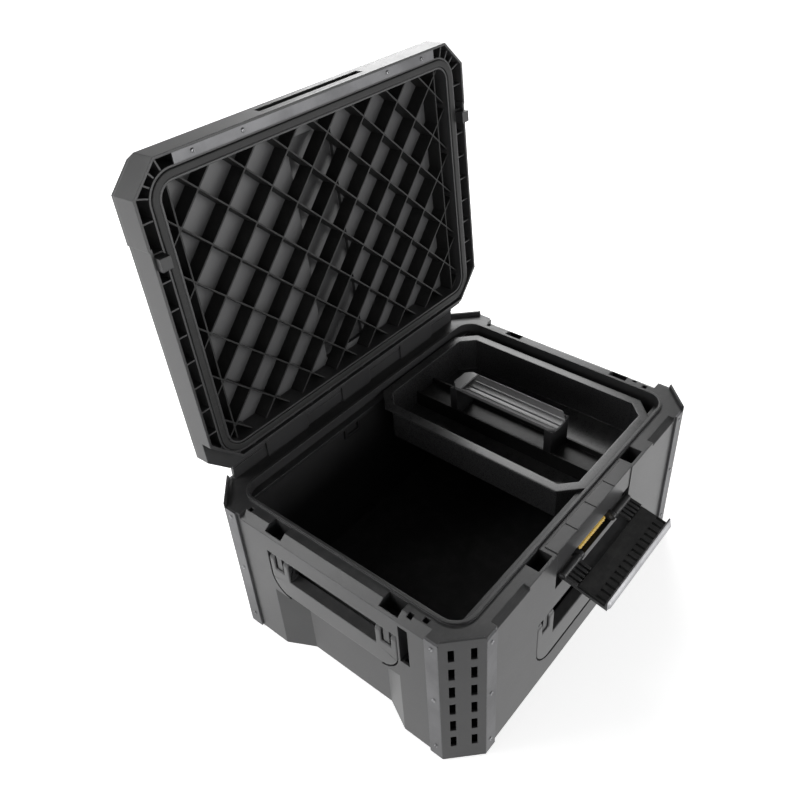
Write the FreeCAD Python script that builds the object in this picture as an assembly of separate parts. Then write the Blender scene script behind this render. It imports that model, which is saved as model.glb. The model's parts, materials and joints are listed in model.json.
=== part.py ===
import FreeCAD, Part
import math
import os

os.makedirs("parts", exist_ok=True)
V = FreeCAD.Vector

# Millimetres.  X runs left to right seen from the front, the front faces -Y, Z is up.
# The origin is on the underside, below the middle of the bay.  Everything is saved as it
# stands in the photo: lid open, latch flap open, handles hanging, tray at the right.

# tub
BODY_W = 542.0
FACE_FRONT = 201.0
FACE_REAR = 206.0
RIM_Z = 223.0
FLOOR_T = 4.0
SIDE_WALL = 29.0
FRONT_WALL = 28.0
REAR_WALL = 30.0
BAY_R = 25.0
LIP_T = 4.0
LIP_H = 3.5
SKIN_T = 3.5
RIM_T = 10.0
RIM_BEVEL_X = 12.0
RIM_BEVEL_Z = 8.0
NOTCH_SIDE_Y0 = 79.0
NOTCH_W = 27.0
NOTCH_FRONT_W = 29.0
NOTCH_IN = 23.0
NOTCH_DEEP = 30.0
NOTCH_WALL = 4.0
PILLAR_IN = 53.0
PILLAR_SLOT_IN = 4.5
PILLAR_SLOT_W = 14.0
PILLAR_SLOT_H = 64.0
REAR_CELLS = 5
REAR_CELL_IN = 61.0
CELL_WALL = 4.0

# handles: the first set is for both sides, the second for the front
POCKET_DEEP = 19.0
HANDLE_T = 16.0
PIN_R = 3.0
PIN_RUN = 0.08
LUG_W = 9.0
LUG_GAP = 3.0
SIDE_HALF = 103.5
SIDE_ARM = 32.5
SIDE_BAR = 35.0
SIDE_DROP = 36.0
SIDE_HEAD = 13.0
SIDE_REACH = 60.0
FRONT_HALF = 125.0
FRONT_ARM = 38.0
FRONT_BAR = 40.0
FRONT_DROP = 34.0
FRONT_HEAD = 15.0
FRONT_REACH = 78.0
POCKET_GAP = 1.5
RECESS_SLANT = 38.0

# corner guards
GUARD_T = 3.0
GUARD_LEG = 37.0
GUARD_STRIP = 19.0
GUARD_BOTTOM = 1.0
GUARD_RISE = 7.0
SLOT_W = 7.0
SLOT_H = 20.0
SLOT_ROWS = 6
SLOT_FIRST = 38.0
SLOT_TOP_EDGE = 24.5
SLOT_SPREAD = 12.5
GAP_BEHIND = 9.0
GAP_HALF_W = 22.0
SCREW_R = 1.5
SCREW_HEAD_R = 2.6
SCREW_HEAD_H = 1.2
SHANK = 7.0
SCREW_EDGE = 21.0

# lid, given closed and turned open at the end
HINGE_IN = 0.5
HINGE_UP = 30.5
HINGE_R = 8.0
LID_OPEN = 94.1
LID_SIDE_IN = 1.5
LID_SET_IN = 1.5
LID_FRONT_IN = 3.0
LID_REAR_IN = 15.0
LID_GAP = 2.0
LID_H = 38.0
LID_T = 3.0
LID_TOP_T = 4.0
LID_CUT = 34.0
LID_STEP_L = 90.0
OVER_CUT = 27.0
OVER_UP = 16.0
OVER_LIP = 1.5
OVER_FLOOR_T = 3.0
LID_BEVEL = 6.0
UPSTAND_IN = 40.0
UPSTAND_T = 5.5
UPSTAND_GAP = 1.0
SEAL_IN = 2.5
SEAL_OUT = 6.5
SEAL_GAP = 0.5
SEAL_H = 8.0
SEAL_WALL = 2.5
SEAL_SIDE_GAP = 0.5
RIB_T = 2.0
RIB_UP = 12.0
LATTICE_PITCH = 65.5
LATTICE_SUM = -2.3
LATTICE_DIFF = 25.7
BORDER_IN = 21.0
SPINE_HALF = 40.0
SPINE_H = 6.0
SPINE_FRONT_IN = 48.0
SPINE_REAR_IN = 26.0
CROSS_PITCH = 34.0
RADIAL_L = 70.0
KNUCKLE_GAP = 0.7
KNUCKLE_IN = 40.0
KNUCKLE_END_W = 55.3
KNUCKLE_MID_HALF = 29.3
KNUCKLE_TUB_X = 100.0
KNUCKLE_LEG = 59.0
KNUCKLE_LEG_SLOPE = 12.0
# Stop fin on each lid knuckle: it swings down onto the upstand as the lid opens.
STOP_T = 5.5
STOP_UP = 1.1
STOP_GAP = 0.6
STRIKE_SIDE = 2.0
STRIKE_H = 6.4
POCKET_TOP = 10.5
POCKET_WALL = 2.5
STRIP_T = 2.5
STRIP_IN = 57.5
TAB_L = 14.9
TAB_DROP = 9.0
CLEAT_X0 = 70.0
CLEAT_IN = 69.5
CLEAT_FRONT_L = 56.0
CLEAT_REAR_L = 57.0
CLEAT_REAR_IN = 16.0

# latch, given closed and turned open at the end
LATCH_HALF = 82.5
LATCH_OUT = 3.0
LATCH_DROP = 45.0
LATCH_R = 5.5
LATCH_PIN_R = 2.5
LATCH_OPEN = 102.0
FLAP_T = 4.0
FLAP_OVER = 17.0
HOOK_H = 5.0
HOOK_LEN = 10.0
HOOK_SLOPE = 3.2
HOOK_GAP = 0.6
MOUNT_SIDE = 8.5
MOUNT_BELOW = 17.0
MOUNT_ABOVE = 11.0
MOUNT_FRONT_IN = 1.0
MOUNT_FACE_IN = 8.0
MOUNT_REAR_IN = 18.0
MOUNT_RISE = 1.2
CATCH_HALF = 33.0
LATCH_LUG_GAP = 4.5
LATCH_LUG_W = 6.0
COMB_PITCH = 7.5
FINGER_H = 3.0
FINGER_L = 14.0
PAD_T = 2.5
PAD_PITCH = 11.0

# tray
TRAY_W = 230.0
TRAY_SIDE_GAP = 12.0
TRAY_FRONT_GAP = 3.0
TRAY_REAR_GAP = 4.0
TRAY_CORNER = 28.0
TRAY_SUNK = 6.0
TRAY_FLANGE = 14.0
TRAY_FLANGE_T = 4.0
TRAY_WALL = 3.0
TRAY_DEPTH = 58.0
RAIL_W = 11.0
RAIL_H = 6.0
RAIL_GAP = 0.4
DIVIDER_SHIFT = -6.0
DIVIDER_HALF = 22.0
DIVIDER_H = 24.0
SEAT_UP = 15.0
GRIP_RISE = 12.0
GRIP_T = 4.0
GRIP_R = 36.0
GRIP_HALF_W = 22.0
GRIP_HALF_L = 87.0
GRIP_Y = 5.0
GRIP_CORNER = 9.0
GRIP_CAP_L = 18.0
GRIP_CAP_T = 3.0
GRIP_SEAT = 0.15
RIDGE_R = 1.5
RIDGE_TURN = 18.0
GRIP_BAR_HALF = 12.0
GRIP_BAR_T = 16.0
POST_T = 12.0
BRACKET_LEFT = 57.0
BRACKET_W = 32.0
BRACKET_H = 26.0
BRACKET_RIM = 5.0

# values that follow from the sizes above
ROOT2 = math.sqrt(2.0)
TAN_H = math.tan(math.radians(22.5))
ORIGIN = V(0, 0, 0)
FACE_X = BODY_W / 2
BAY_HALF_W = FACE_X - SIDE_WALL
BAY_FRONT = FRONT_WALL - FACE_FRONT
BAY_REAR = FACE_REAR - REAR_WALL
LIP_Z = RIM_Z + LIP_H
VOID_TOP = RIM_Z - RIM_T
PILLAR_END = FACE_FRONT - PILLAR_IN
GUARD_TOP = RIM_Z + GUARD_RISE
SLOT_PITCH = (GUARD_TOP - SLOT_FIRST - SLOT_TOP_EDGE) / (SLOT_ROWS - 1)
SCREW_LOW = GUARD_BOTTOM + SCREW_EDGE
SCREW_HIGH = RIM_Z - SCREW_EDGE / 2
SCREW_Z = (SCREW_LOW, (SCREW_LOW + SCREW_HIGH) / 2, SCREW_HIGH)
LID_Z0 = RIM_Z + LID_GAP
LID_Z1 = LID_Z0 + LID_H
HINGE_Y = FACE_REAR - HINGE_IN
HINGE_Z = LID_Z0 + HINGE_UP
LID_HALF_W = FACE_X - LID_SIDE_IN
LID_FRONT = LID_FRONT_IN - FACE_FRONT
LID_REAR = FACE_REAR - LID_REAR_IN
LID_CORNER = LID_HALF_W - LID_FRONT - LID_CUT
LID_STEP_FRONT = LID_FRONT + LID_STEP_L
CHANNEL_OUT = SEAL_OUT + SEAL_SIDE_GAP + SEAL_WALL
REAR_STEP_X = BAY_HALF_W + CHANNEL_OUT
REAR_CORNER = BAY_HALF_W + BAY_REAR - 2 * BAY_R + (BAY_R + CHANNEL_OUT) * ROOT2 + 1.7
LID_STEP_REAR = REAR_CORNER - REAR_STEP_X - 17
OVER_REAR = FACE_REAR + OVER_LIP
OVER_CORNER = LID_HALF_W - LID_SET_IN + OVER_REAR - OVER_CUT
UPSTAND_HALF = FACE_X - UPSTAND_IN
UPSTAND_TOP = LID_Z0 + OVER_UP - UPSTAND_GAP
SEAL_Z0 = LIP_Z + SEAL_GAP
RIB_Z0 = LID_Z0 + RIB_UP
BORDER_RIB_X = BAY_HALF_W - BORDER_IN
KNUCKLE_END = FACE_X - KNUCKLE_IN
STOP_R = HINGE_Z - UPSTAND_TOP - STOP_GAP
STOP_L = (STOP_R ** 2 - (STOP_T - STOP_UP) ** 2) ** 0.5
KNUCKLE_TUB_END = KNUCKLE_END - KNUCKLE_END_W - KNUCKLE_GAP
KNUCKLE_LID_X = KNUCKLE_MID_HALF + KNUCKLE_GAP
KNUCKLE_LID_END = KNUCKLE_TUB_X - KNUCKLE_GAP
LATCH_Y = -FACE_FRONT - LATCH_OUT
LATCH_Z = RIM_Z - LATCH_DROP
FLAP_TOP = LID_Z0 + FLAP_OVER
MOUNT_HALF = LATCH_HALF + MOUNT_SIDE
MOUNT_Z0 = LATCH_Z - MOUNT_BELOW
MOUNT_STEP = LATCH_Z + MOUNT_ABOVE
MOUNT_FRONT = MOUNT_FRONT_IN - FACE_FRONT
MOUNT_BACK_FACE = MOUNT_FACE_IN - FACE_FRONT
MOUNT_REAR = MOUNT_REAR_IN - FACE_FRONT
MOUNT_TOP = RIM_Z + MOUNT_RISE
LUG_X0 = CATCH_HALF + LATCH_LUG_GAP
LUG_X1 = LUG_X0 + LATCH_LUG_W
NOTCH_SIDE_Y1 = NOTCH_SIDE_Y0 + NOTCH_W
NOTCH_FRONT_X0 = MOUNT_HALF + 6
NOTCH_FRONT_X1 = NOTCH_FRONT_X0 + NOTCH_FRONT_W
SIDE_CEILING = RIM_Z - SIDE_DROP
SIDE_PIVOT = SIDE_CEILING - SIDE_HEAD
SIDE_BOTTOM = SIDE_PIVOT - SIDE_REACH
FRONT_CEILING = MOUNT_Z0 - FRONT_DROP
FRONT_PIVOT = FRONT_CEILING - FRONT_HEAD
FRONT_BOTTOM = FRONT_PIVOT - FRONT_REACH
TRAY_X1 = BAY_HALF_W - TRAY_SIDE_GAP
TRAY_X0 = TRAY_X1 - TRAY_W
TRAY_Y0 = BAY_FRONT + TRAY_FRONT_GAP
TRAY_Y1 = BAY_REAR - TRAY_REAR_GAP
TRAY_TOP = RIM_Z - TRAY_SUNK
GRIP_TOP = TRAY_TOP + GRIP_RISE


def box(x0, x1, y0, y1, z0, z1):
    """Block between two corners."""
    return Part.makeBox(x1 - x0, y1 - y0, z1 - z0, V(x0, y0, z0))


def face_of(points):
    """Flat face through the given points."""
    return Part.Face(Part.makePolygon(list(points) + [points[0]]))


def slab(points, z0, z1):
    """Outline in X and Y raised from z0 to z1."""
    return face_of([V(x, y, z0) for x, y in points]).extrude(V(0, 0, z1 - z0))


def along_x(points, x0, x1):
    """Outline in Y and Z drawn out from x0 to x1."""
    return face_of([V(x0, y, z) for y, z in points]).extrude(V(x1 - x0, 0, 0))


def rod_x(x0, x1, y, z, r):
    """Round bar along X."""
    return Part.makeCylinder(r, x1 - x0, V(x0, y, z), V(1, 0, 0))


def octagon(x0, x1, y0, y1, c, z0, z1):
    """Rectangle with four corners cut by c, raised from z0 to z1."""
    pts = [(x0 + c, y0), (x1 - c, y0), (x1, y0 + c), (x1, y1 - c)]
    pts += [(x1 - c, y1), (x0 + c, y1), (x0, y1 - c), (x0, y0 + c)]
    return slab(pts, z0, z1)


def rounded(grow, z0, z1):
    """The bay outline, grown outward, raised from z0 to z1."""
    x = BAY_HALF_W + grow
    y0 = BAY_FRONT - grow
    y1 = BAY_REAR + grow
    r = BAY_R + grow
    k = r * (1 - 1 / ROOT2)
    marks = [(x - r, y0), (x - k, y0 + k), (x, y0 + r)]
    marks += [(x, y1 - r), (x - k, y1 - k), (x - r, y1)]
    marks += [(-x + r, y1), (-x + k, y1 - k), (-x, y1 - r)]
    marks += [(-x, y0 + r), (-x + k, y0 + k), (-x + r, y0)]
    p = [V(a, b, z0) for a, b in marks]
    edges = []
    for i in range(0, 12, 3):
        edges.append(Part.Arc(p[i], p[i + 1], p[i + 2]).toShape())
        edges.append(Part.LineSegment(p[i + 2], p[(i + 3) % 12]).toShape())
    return Part.Face(Part.Wire(edges)).extrude(V(0, 0, z1 - z0))


def ring(inner, outer, z0, z1):
    """Band that follows the bay outline."""
    return rounded(outer, z0, z1).cut(rounded(inner, z0 - 1, z1 + 1))


def flip_x(shape):
    """Mirror image across the middle, left to right."""
    return shape.mirror(ORIGIN, V(1, 0, 0))


def flip_y(shape):
    """Mirror image across the middle, front to back."""
    return shape.mirror(ORIGIN, V(0, 1, 0))


def turned(shape, angle):
    """Copy turned about the upright axis."""
    s = shape.copy()
    s.rotate(ORIGIN, V(0, 0, 1), angle)
    return s


def swung(shape, y, z, angle):
    """Copy turned about a line along X."""
    s = shape.copy()
    s.rotate(V(0, y, z), V(1, 0, 0), angle)
    return s


def diagonal(s0, s1, t0, t1, z0, z1):
    """Block laid out across and along the corner that points to +X +Y."""
    return turned(box(s0, s1, t0, t1, z0, z1), 45)


def save(name, shape):
    """Tidy one node and write it."""
    clean = shape.removeSplitter()
    if len(clean.Solids) == 1:
        clean = clean.Solids[0]
    clean.exportStep("parts/" + name + ".step")


# Handle, pocket, lugs and pins are laid out on the front and turned to their side.
def handle_set(face, half, arm, bottom, bar, pivot, ceiling):
    """Handle, pocket cut, lugs and pins for one face."""
    y_out = -face
    y_in = y_out + HANDLE_T
    y_piv = (y_out + y_in) / 2
    r_top = HANDLE_T / 2
    bend = arm
    u = [(-half, pivot + r_top), (-half, bottom + bend), (-half + bend, bottom)]
    k = bend * (1 - 1 / ROOT2)
    top = bottom + bar
    p = [V(a, y_out, b) for a, b in u]
    q = [V(-a, y_out, b) for a, b in u]
    m1 = V(-half + k, y_out, bottom + k)
    m2 = V(half - k, y_out, bottom + k)
    i0 = V(-half + arm, y_out, pivot + r_top)
    i1 = V(-half + arm, y_out, top)
    i2 = V(half - arm, y_out, top)
    i3 = V(half - arm, y_out, pivot + r_top)
    edges = [Part.LineSegment(p[0], p[1]).toShape(), Part.Arc(p[1], m1, p[2]).toShape()]
    edges += [Part.LineSegment(p[2], q[2]).toShape(), Part.Arc(q[2], m2, q[1]).toShape()]
    chain = [q[1], q[0], i3, i2, i1, i0, p[0]]
    for a, b in zip(chain, chain[1:]):
        edges.append(Part.LineSegment(a, b).toShape())
    u_body = Part.Face(Part.Wire(edges)).extrude(V(0, HANDLE_T, 0))
    ease = 3.0
    side = [V(-half - 1, y_out, pivot), V(-half - 1, y_out, bottom + ease)]
    side += [V(-half - 1, y_out + ease, bottom), V(-half - 1, y_in - ease, bottom)]
    side += [V(-half - 1, y_in, bottom + ease), V(-half - 1, y_in, pivot)]
    lines = [Part.LineSegment(a, b).toShape() for a, b in zip(side, side[1:])]
    crown = V(-half - 1, y_piv, pivot + r_top)
    lines.append(Part.Arc(side[-1], crown, side[0]).toShape())
    profile = Part.Face(Part.Wire(lines)).extrude(V(2 * half + 2, 0, 0))
    grip = u_body.common(profile)
    lug_mid = half - arm / 2
    slot = LUG_W / 2 + LUG_GAP
    floor = y_out + POCKET_DEEP
    lugs = []
    pins = []
    for sx in (-1, 1):
        mid = sx * lug_mid
        grip = grip.cut(box(mid - slot, mid + slot, y_out - 1, y_in + 1, pivot - 15, pivot + 20))
        lug = box(mid - LUG_W / 2, mid + LUG_W / 2, y_out + 2, floor + 0.5, pivot - 13, ceiling + 0.5)
        reach = arm / 2 - 1.0
        lug = lug.cut(rod_x(mid - reach, mid + reach, y_piv, pivot, PIN_R))
        lugs.append(lug)
        pins.append(rod_x(mid - reach, mid + reach, y_piv, pivot, PIN_R))
        bore = rod_x(mid - arm, mid + arm, y_piv, pivot, PIN_R + PIN_RUN)
        grip = grip.cut(bore.common(box(mid - arm / 2, mid + arm / 2, y_out, y_in, 0, RIM_Z)))
    wide = half + POCKET_GAP
    low = bottom - POCKET_GAP
    r = bend + POCKET_GAP
    k = r * (1 - 1 / ROOT2)
    marks = [(-wide, ceiling), (-wide, low + r), (-wide + k, low + k), (-wide + r, low)]
    marks += [(wide - r, low), (wide - k, low + k), (wide, low + r), (wide, ceiling)]
    m = [V(a, y_out - 1, b) for a, b in marks]
    edges = [Part.LineSegment(m[0], m[1]).toShape(), Part.Arc(m[1], m[2], m[3]).toShape()]
    edges += [Part.LineSegment(m[3], m[4]).toShape(), Part.Arc(m[4], m[5], m[6]).toShape()]
    edges += [Part.LineSegment(m[6], m[7]).toShape(), Part.LineSegment(m[7], m[0]).toShape()]
    pocket = Part.Face(Part.Wire(edges)).extrude(V(0, POCKET_DEEP + 1, 0))
    return grip, pocket, lugs, pins


side_set = handle_set(FACE_X, SIDE_HALF, SIDE_ARM, SIDE_BOTTOM, SIDE_BAR, SIDE_PIVOT, SIDE_CEILING)
front_set = handle_set(FACE_FRONT, FRONT_HALF, FRONT_ARM, FRONT_BOTTOM, FRONT_BAR, FRONT_PIVOT,
                       FRONT_CEILING)
LEFT_TURN = -90
RIGHT_TURN = 90


# One corner, laid out where X and Y are both positive.
def corner(face_y):
    """Guard panel, its two strips, cuts in the tub and screws for a corner of the given depth."""
    gx = FACE_X + GUARD_T
    gy = face_y + GUARD_T
    mitre = GUARD_T * TAN_H
    leg_x = gx - GUARD_LEG
    leg_y = gy - GUARD_LEG
    end_x = leg_x - GUARD_STRIP
    end_y = leg_y - GUARD_STRIP
    pts = [(gx, end_y), (gx, leg_y), (leg_x, gy), (end_x, gy)]
    pts += [(end_x, face_y), (leg_x - mitre, face_y), (FACE_X, leg_y - mitre), (FACE_X, end_y)]
    guard = slab(pts, GUARD_BOTTOM, GUARD_TOP)
    tops = [box(FACE_X - 0.5, gx + 1, 0, leg_y, RIM_Z, GUARD_TOP + 1)]
    tops.append(box(0, leg_x, face_y - 0.5, gy + 1, RIM_Z, GUARD_TOP + 1))
    plane = (gx + leg_y) / ROOT2
    centre = (leg_y - leg_x + gy - gx) / 2 / ROOT2
    slots = []
    for row in range(SLOT_ROWS):
        z = SLOT_FIRST + row * SLOT_PITCH
        for side in (-1, 1):
            t = centre + side * SLOT_SPREAD
            slots.append(diagonal(plane - 10, plane + 10, t - SLOT_W / 2, t + SLOT_W / 2,
                                  z - SLOT_H / 2, z + SLOT_H / 2))
    back = plane - GUARD_T - GAP_BEHIND
    gap = diagonal(back, plane + 5, centre - GAP_HALF_W, centre + GAP_HALF_W, 6, RIM_Z - GAP_BEHIND)
    bores = []
    screws = []
    for z in SCREW_Z:
        spots = ((V(gx, (end_y + leg_y) / 2, z), V(1, 0, 0)), (V((end_x + leg_x) / 2, gy, z), V(0, 1, 0)))
        for base, way in spots:
            shank = Part.makeCylinder(SCREW_R, SHANK, base, way.negative())
            bores.append(shank)
            screws.append(shank.fuse(Part.makeCylinder(SCREW_HEAD_R, SCREW_HEAD_H, base, way)))
    guard = guard.cut(tops + slots + bores)
    zones = [box(0, gx + 1, 0, leg_y - mitre, 0, GUARD_TOP + 1)]
    zones.append(box(0, leg_x - mitre, 0, gy + 1, 0, GUARD_TOP + 1))
    strips = [guard.common(zone) for zone in zones]
    return guard.cut(zones), strips, [gap] + bores, screws


rear_guard, rear_strips, rear_cuts, rear_screws = corner(FACE_REAR)
front_guard, front_strips, front_cuts, front_screws = corner(FACE_FRONT)
front_guard = flip_y(front_guard)
corner_cuts = rear_cuts + [flip_y(s) for s in front_cuts]
corner_screws = rear_screws + [flip_y(s) for s in front_screws]
corner_strips = rear_strips + [flip_y(s) for s in front_strips]


def pair(shapes):
    """The given shapes on the right and mirrored on the left."""
    return list(shapes) + [flip_x(s) for s in shapes]


def four(shape):
    """One shape in all four quarters."""
    return pair([shape, flip_y(shape)])


# Tub shell: outer body, bay, hollow pillars, pockets, rim features, hinge knuckles.
body_corner = GUARD_LEG - GUARD_T * (2 - ROOT2)
tub = octagon(-FACE_X, FACE_X, -FACE_FRONT, FACE_REAR, body_corner, 0, RIM_Z)
tub = tub.fuse(rounded(LIP_T, RIM_Z - 1, LIP_Z))
cuts = [rounded(0, FLOOR_T, LIP_Z + 1)]
cuts += pair(corner_cuts)
skin_in = FACE_X - SKIN_T
bay_out = BAY_HALF_W + SKIN_T
post_y0 = SIDE_HALF + POCKET_GAP + 7
cuts += four(box(bay_out, skin_in, post_y0, PILLAR_END, -1, VOID_TOP))
void_end = BAY_HALF_W - BAY_R - 9
cuts += pair([box(FRONT_HALF + 7, void_end, -FACE_FRONT + SKIN_T, BAY_FRONT - SKIN_T, -1, VOID_TOP)])
rear_span = 2 * (FACE_X - REAR_CELL_IN)
cell = rear_span / REAR_CELLS
half_wall = CELL_WALL / 2
for i in range(REAR_CELLS):
    x = i * cell - rear_span / 2
    cuts.append(box(x + half_wall, x + cell - half_wall, BAY_REAR + SKIN_T, FACE_REAR - SKIN_T, -1,
                    VOID_TOP))
recess_half = SIDE_HALF + POCKET_GAP
spread = RECESS_SLANT / POCKET_DEEP
recess = [(-recess_half - 2 * spread, -FACE_X - 2), (recess_half + 2 * spread, -FACE_X - 2)]
recess += [(recess_half - RECESS_SLANT, -FACE_X + POCKET_DEEP)]
recess += [(-recess_half + RECESS_SLANT, -FACE_X + POCKET_DEEP)]
recess = slab(recess, -1, SIDE_BOTTOM - POCKET_GAP + 0.5)
cuts += [turned(recess, LEFT_TURN), turned(recess, RIGHT_TURN)]
cuts += [turned(side_set[1], LEFT_TURN), turned(side_set[1], RIGHT_TURN), front_set[1]]
notch_z = RIM_Z - NOTCH_DEEP
notch_x = FACE_X - NOTCH_IN
notch_y = -FACE_FRONT + NOTCH_WALL
cuts += four(box(notch_x, FACE_X - NOTCH_WALL, NOTCH_SIDE_Y0, NOTCH_SIDE_Y1, notch_z, RIM_Z + 1))
cuts += pair([box(NOTCH_FRONT_X0, NOTCH_FRONT_X1, notch_y, -FACE_FRONT + NOTCH_IN, notch_z, RIM_Z + 1)])
bevel = [(-FACE_X - 1, RIM_Z - RIM_BEVEL_Z - RIM_BEVEL_Z / RIM_BEVEL_X)]
bevel += [(-FACE_X - 1, RIM_Z + 1), (-FACE_X + RIM_BEVEL_X + 1.5, RIM_Z + 1)]
bevel = along_x(bevel, -PILLAR_END, PILLAR_END)
cuts += [turned(bevel, LEFT_TURN), turned(bevel, RIGHT_TURN)]
edge = [(-FACE_FRONT - 1, RIM_Z - 7), (-FACE_FRONT - 1, RIM_Z + 1), (-FACE_FRONT + 10, RIM_Z + 1)]
cuts += pair([along_x(edge, NOTCH_FRONT_X1 + 24, BAY_HALF_W - GUARD_STRIP - 9)])
cuts.append(box(-MOUNT_HALF, MOUNT_HALF, -FACE_FRONT - 1, MOUNT_REAR, MOUNT_Z0, RIM_Z + 1))
slot_y1 = -SIDE_HALF - PILLAR_SLOT_IN
slot_z1 = RIM_Z - PILLAR_SLOT_W
cuts += pair([box(FACE_X - PILLAR_SLOT_W, FACE_X + 1, slot_y1 - PILLAR_SLOT_W, slot_y1,
                  slot_z1 - PILLAR_SLOT_H, slot_z1)])
rim_holes = ((FACE_X - 15, PILLAR_END - 6, 6), (FACE_X - 12, -PILLAR_END + 30, 7),
             (FACE_X - 17, -PILLAR_END + 12, 7))
for x, y, size in rim_holes:
    h = size / 2
    cuts += pair([box(x - h, x + h, y - h, y + h, RIM_Z - 9, RIM_Z + 1)])
tub = tub.cut(cuts)
adds = [turned(s, LEFT_TURN) for s in side_set[2]]
adds += [turned(s, RIGHT_TURN) for s in side_set[2]]
adds += list(front_set[2])
knuckle_front = HINGE_Y - HINGE_R
knuckle_rear = HINGE_Y + HINGE_R
adds.append(box(-UPSTAND_HALF, UPSTAND_HALF, FACE_REAR - UPSTAND_T, FACE_REAR, RIM_Z - 1,
                UPSTAND_TOP))
leg_z = RIM_Z - KNUCKLE_LEG
leg = [(FACE_REAR - 0.5, leg_z), (knuckle_rear, leg_z + KNUCKLE_LEG_SLOPE), (knuckle_rear, HINGE_Z)]
leg += [(knuckle_front, HINGE_Z), (knuckle_front, RIM_Z - 1), (FACE_REAR - 0.5, RIM_Z - 1)]
TUB_KNUCKLES = ((-KNUCKLE_TUB_END, -KNUCKLE_TUB_X), (-KNUCKLE_MID_HALF, KNUCKLE_MID_HALF),
                (KNUCKLE_TUB_X, KNUCKLE_TUB_END))
lid_right = ((KNUCKLE_LID_X, KNUCKLE_LID_END), (KNUCKLE_END - KNUCKLE_END_W, KNUCKLE_END))
LID_KNUCKLES = tuple((-b, -a) for a, b in lid_right) + lid_right
for x0, x1 in TUB_KNUCKLES:
    block = along_x(leg, x0, x1).fuse(rod_x(x0, x1, HINGE_Y, HINGE_Z, HINGE_R))
    adds.append(block.cut(rod_x(x0 - 1, x1 + 1, HINGE_Y, HINGE_Z, PIN_R)))
tub = tub.fuse(adds)
save("tub_shell", tub)

save("corner_guard_rear_right", rear_guard)
save("corner_guard_front_right", front_guard)
save("corner_guard_rear_left", flip_x(rear_guard))
save("corner_guard_front_left", flip_x(front_guard))
save("guard_strips", Part.makeCompound([s for piece in pair(corner_strips) for s in piece.Solids]))
save("guard_screws", Part.makeCompound(pair(corner_screws)))

save("left_handle", turned(side_set[0], LEFT_TURN))
save("right_handle", turned(side_set[0], RIGHT_TURN))
save("front_handle", front_set[0])
save("left_handle_pins", Part.makeCompound([turned(s, LEFT_TURN) for s in side_set[3]]))
save("right_handle_pins", Part.makeCompound([turned(s, RIGHT_TURN) for s in side_set[3]]))
save("front_handle_pins", Part.makeCompound(front_set[3]))
pin_end = LID_KNUCKLES[-1][1] - 0.5
save("hinge_pin", rod_x(-pin_end, pin_end, HINGE_Y, HINGE_Z, PIN_R))


# Lid, built closed.
def mirrored(right):
    """Closed outline from its right half, front to rear."""
    return right + [(-a, b) for a, b in reversed(right)]


def lid_outline(inset):
    """Lid edge at the rim, moved inward by inset."""
    x = LID_HALF_W - inset
    xm = x - LID_SET_IN
    y0 = LID_FRONT + inset
    y1 = LID_REAR - inset
    corner = LID_CORNER - inset * ROOT2
    s0 = LID_STEP_FRONT - inset
    s1 = LID_STEP_REAR - inset
    rear = REAR_CORNER - inset * ROOT2
    right = [(corner + y0, y0), (x, x - corner), (x, s0), (xm, s0), (xm, s1)]
    right += [(REAR_STEP_X - inset, rear - REAR_STEP_X + inset), (rear - y1, y1)]
    return mirrored(right)


def over_outline(inset):
    """Edge of the upper layer that reaches back over the hinge, moved inward by inset."""
    x = LID_HALF_W - LID_SET_IN - inset
    y1 = OVER_REAR - inset
    corner = OVER_CORNER - inset * ROOT2
    return mirrored([(x, 0), (x, corner - x), (corner - y1, y1)])


ceiling_z = LID_Z1 - LID_TOP_T
over_z = LID_Z0 + OVER_UP
spine_y0 = LID_FRONT + SPINE_FRONT_IN
spine_y1 = LID_REAR - SPINE_REAR_IN
lid = slab(lid_outline(0), LID_Z0, LID_Z1).fuse(slab(over_outline(0), over_z, LID_Z1))
lid = lid.fuse(box(-SPINE_HALF, SPINE_HALF, spine_y0, spine_y1, LID_Z1 - 1, LID_Z1 + SPINE_H))
wall = SPINE_HALF - LID_T
bevel = [(LID_FRONT - 1, LID_Z1 - LID_BEVEL - 1), (LID_FRONT - 1, LID_Z1 + 1)]
bevel.append((LID_FRONT + LID_BEVEL + 1, LID_Z1 + 1))
lid = lid.cut([slab(lid_outline(LID_T), LID_Z0 - 1, ceiling_z),
               slab(over_outline(LID_T), over_z + OVER_FLOOR_T, ceiling_z),
               box(-wall, wall, spine_y0 + LID_T, spine_y1 - LID_T, ceiling_z - 1, ceiling_z + SPINE_H),
               along_x(bevel, -FACE_X, FACE_X)])
seal_in = -SEAL_IN - SEAL_SIDE_GAP
seal_out = SEAL_OUT + SEAL_SIDE_GAP
wall_z0 = SEAL_Z0 + 1.5
seal_top = SEAL_Z0 + SEAL_H
channel = [ring(seal_in - SEAL_WALL, seal_in, wall_z0, ceiling_z + 1)]
channel.append(ring(seal_out, seal_out + SEAL_WALL, wall_z0, ceiling_z + 1))
channel.append(ring(seal_in - 0.5, seal_out + 0.5, seal_top, seal_top + 3))
zone = slab(lid_outline(LID_T - 0.5), wall_z0 + 1, ceiling_z + 1)
zone = zone.cut(rounded(seal_out + SEAL_WALL - 0.5, LID_Z0, LID_Z1))
plates = []
half = RIB_T / 2
rows = int(((BAY_REAR - BAY_FRONT) / 2 - BAY_R) / CROSS_PITCH)
for i in range(-rows, rows + 1):
    y = i * CROSS_PITCH
    plates.append(box(-LID_HALF_W, LID_HALF_W, y - half, y + half, LID_Z0, LID_Z1))
columns = int((BAY_HALF_W - BAY_R) / CROSS_PITCH)
for i in range(-columns, columns + 1):
    x = i * CROSS_PITCH
    plates.append(box(x - half, x + half, LID_FRONT, LID_REAR, LID_Z0, LID_Z1))
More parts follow.
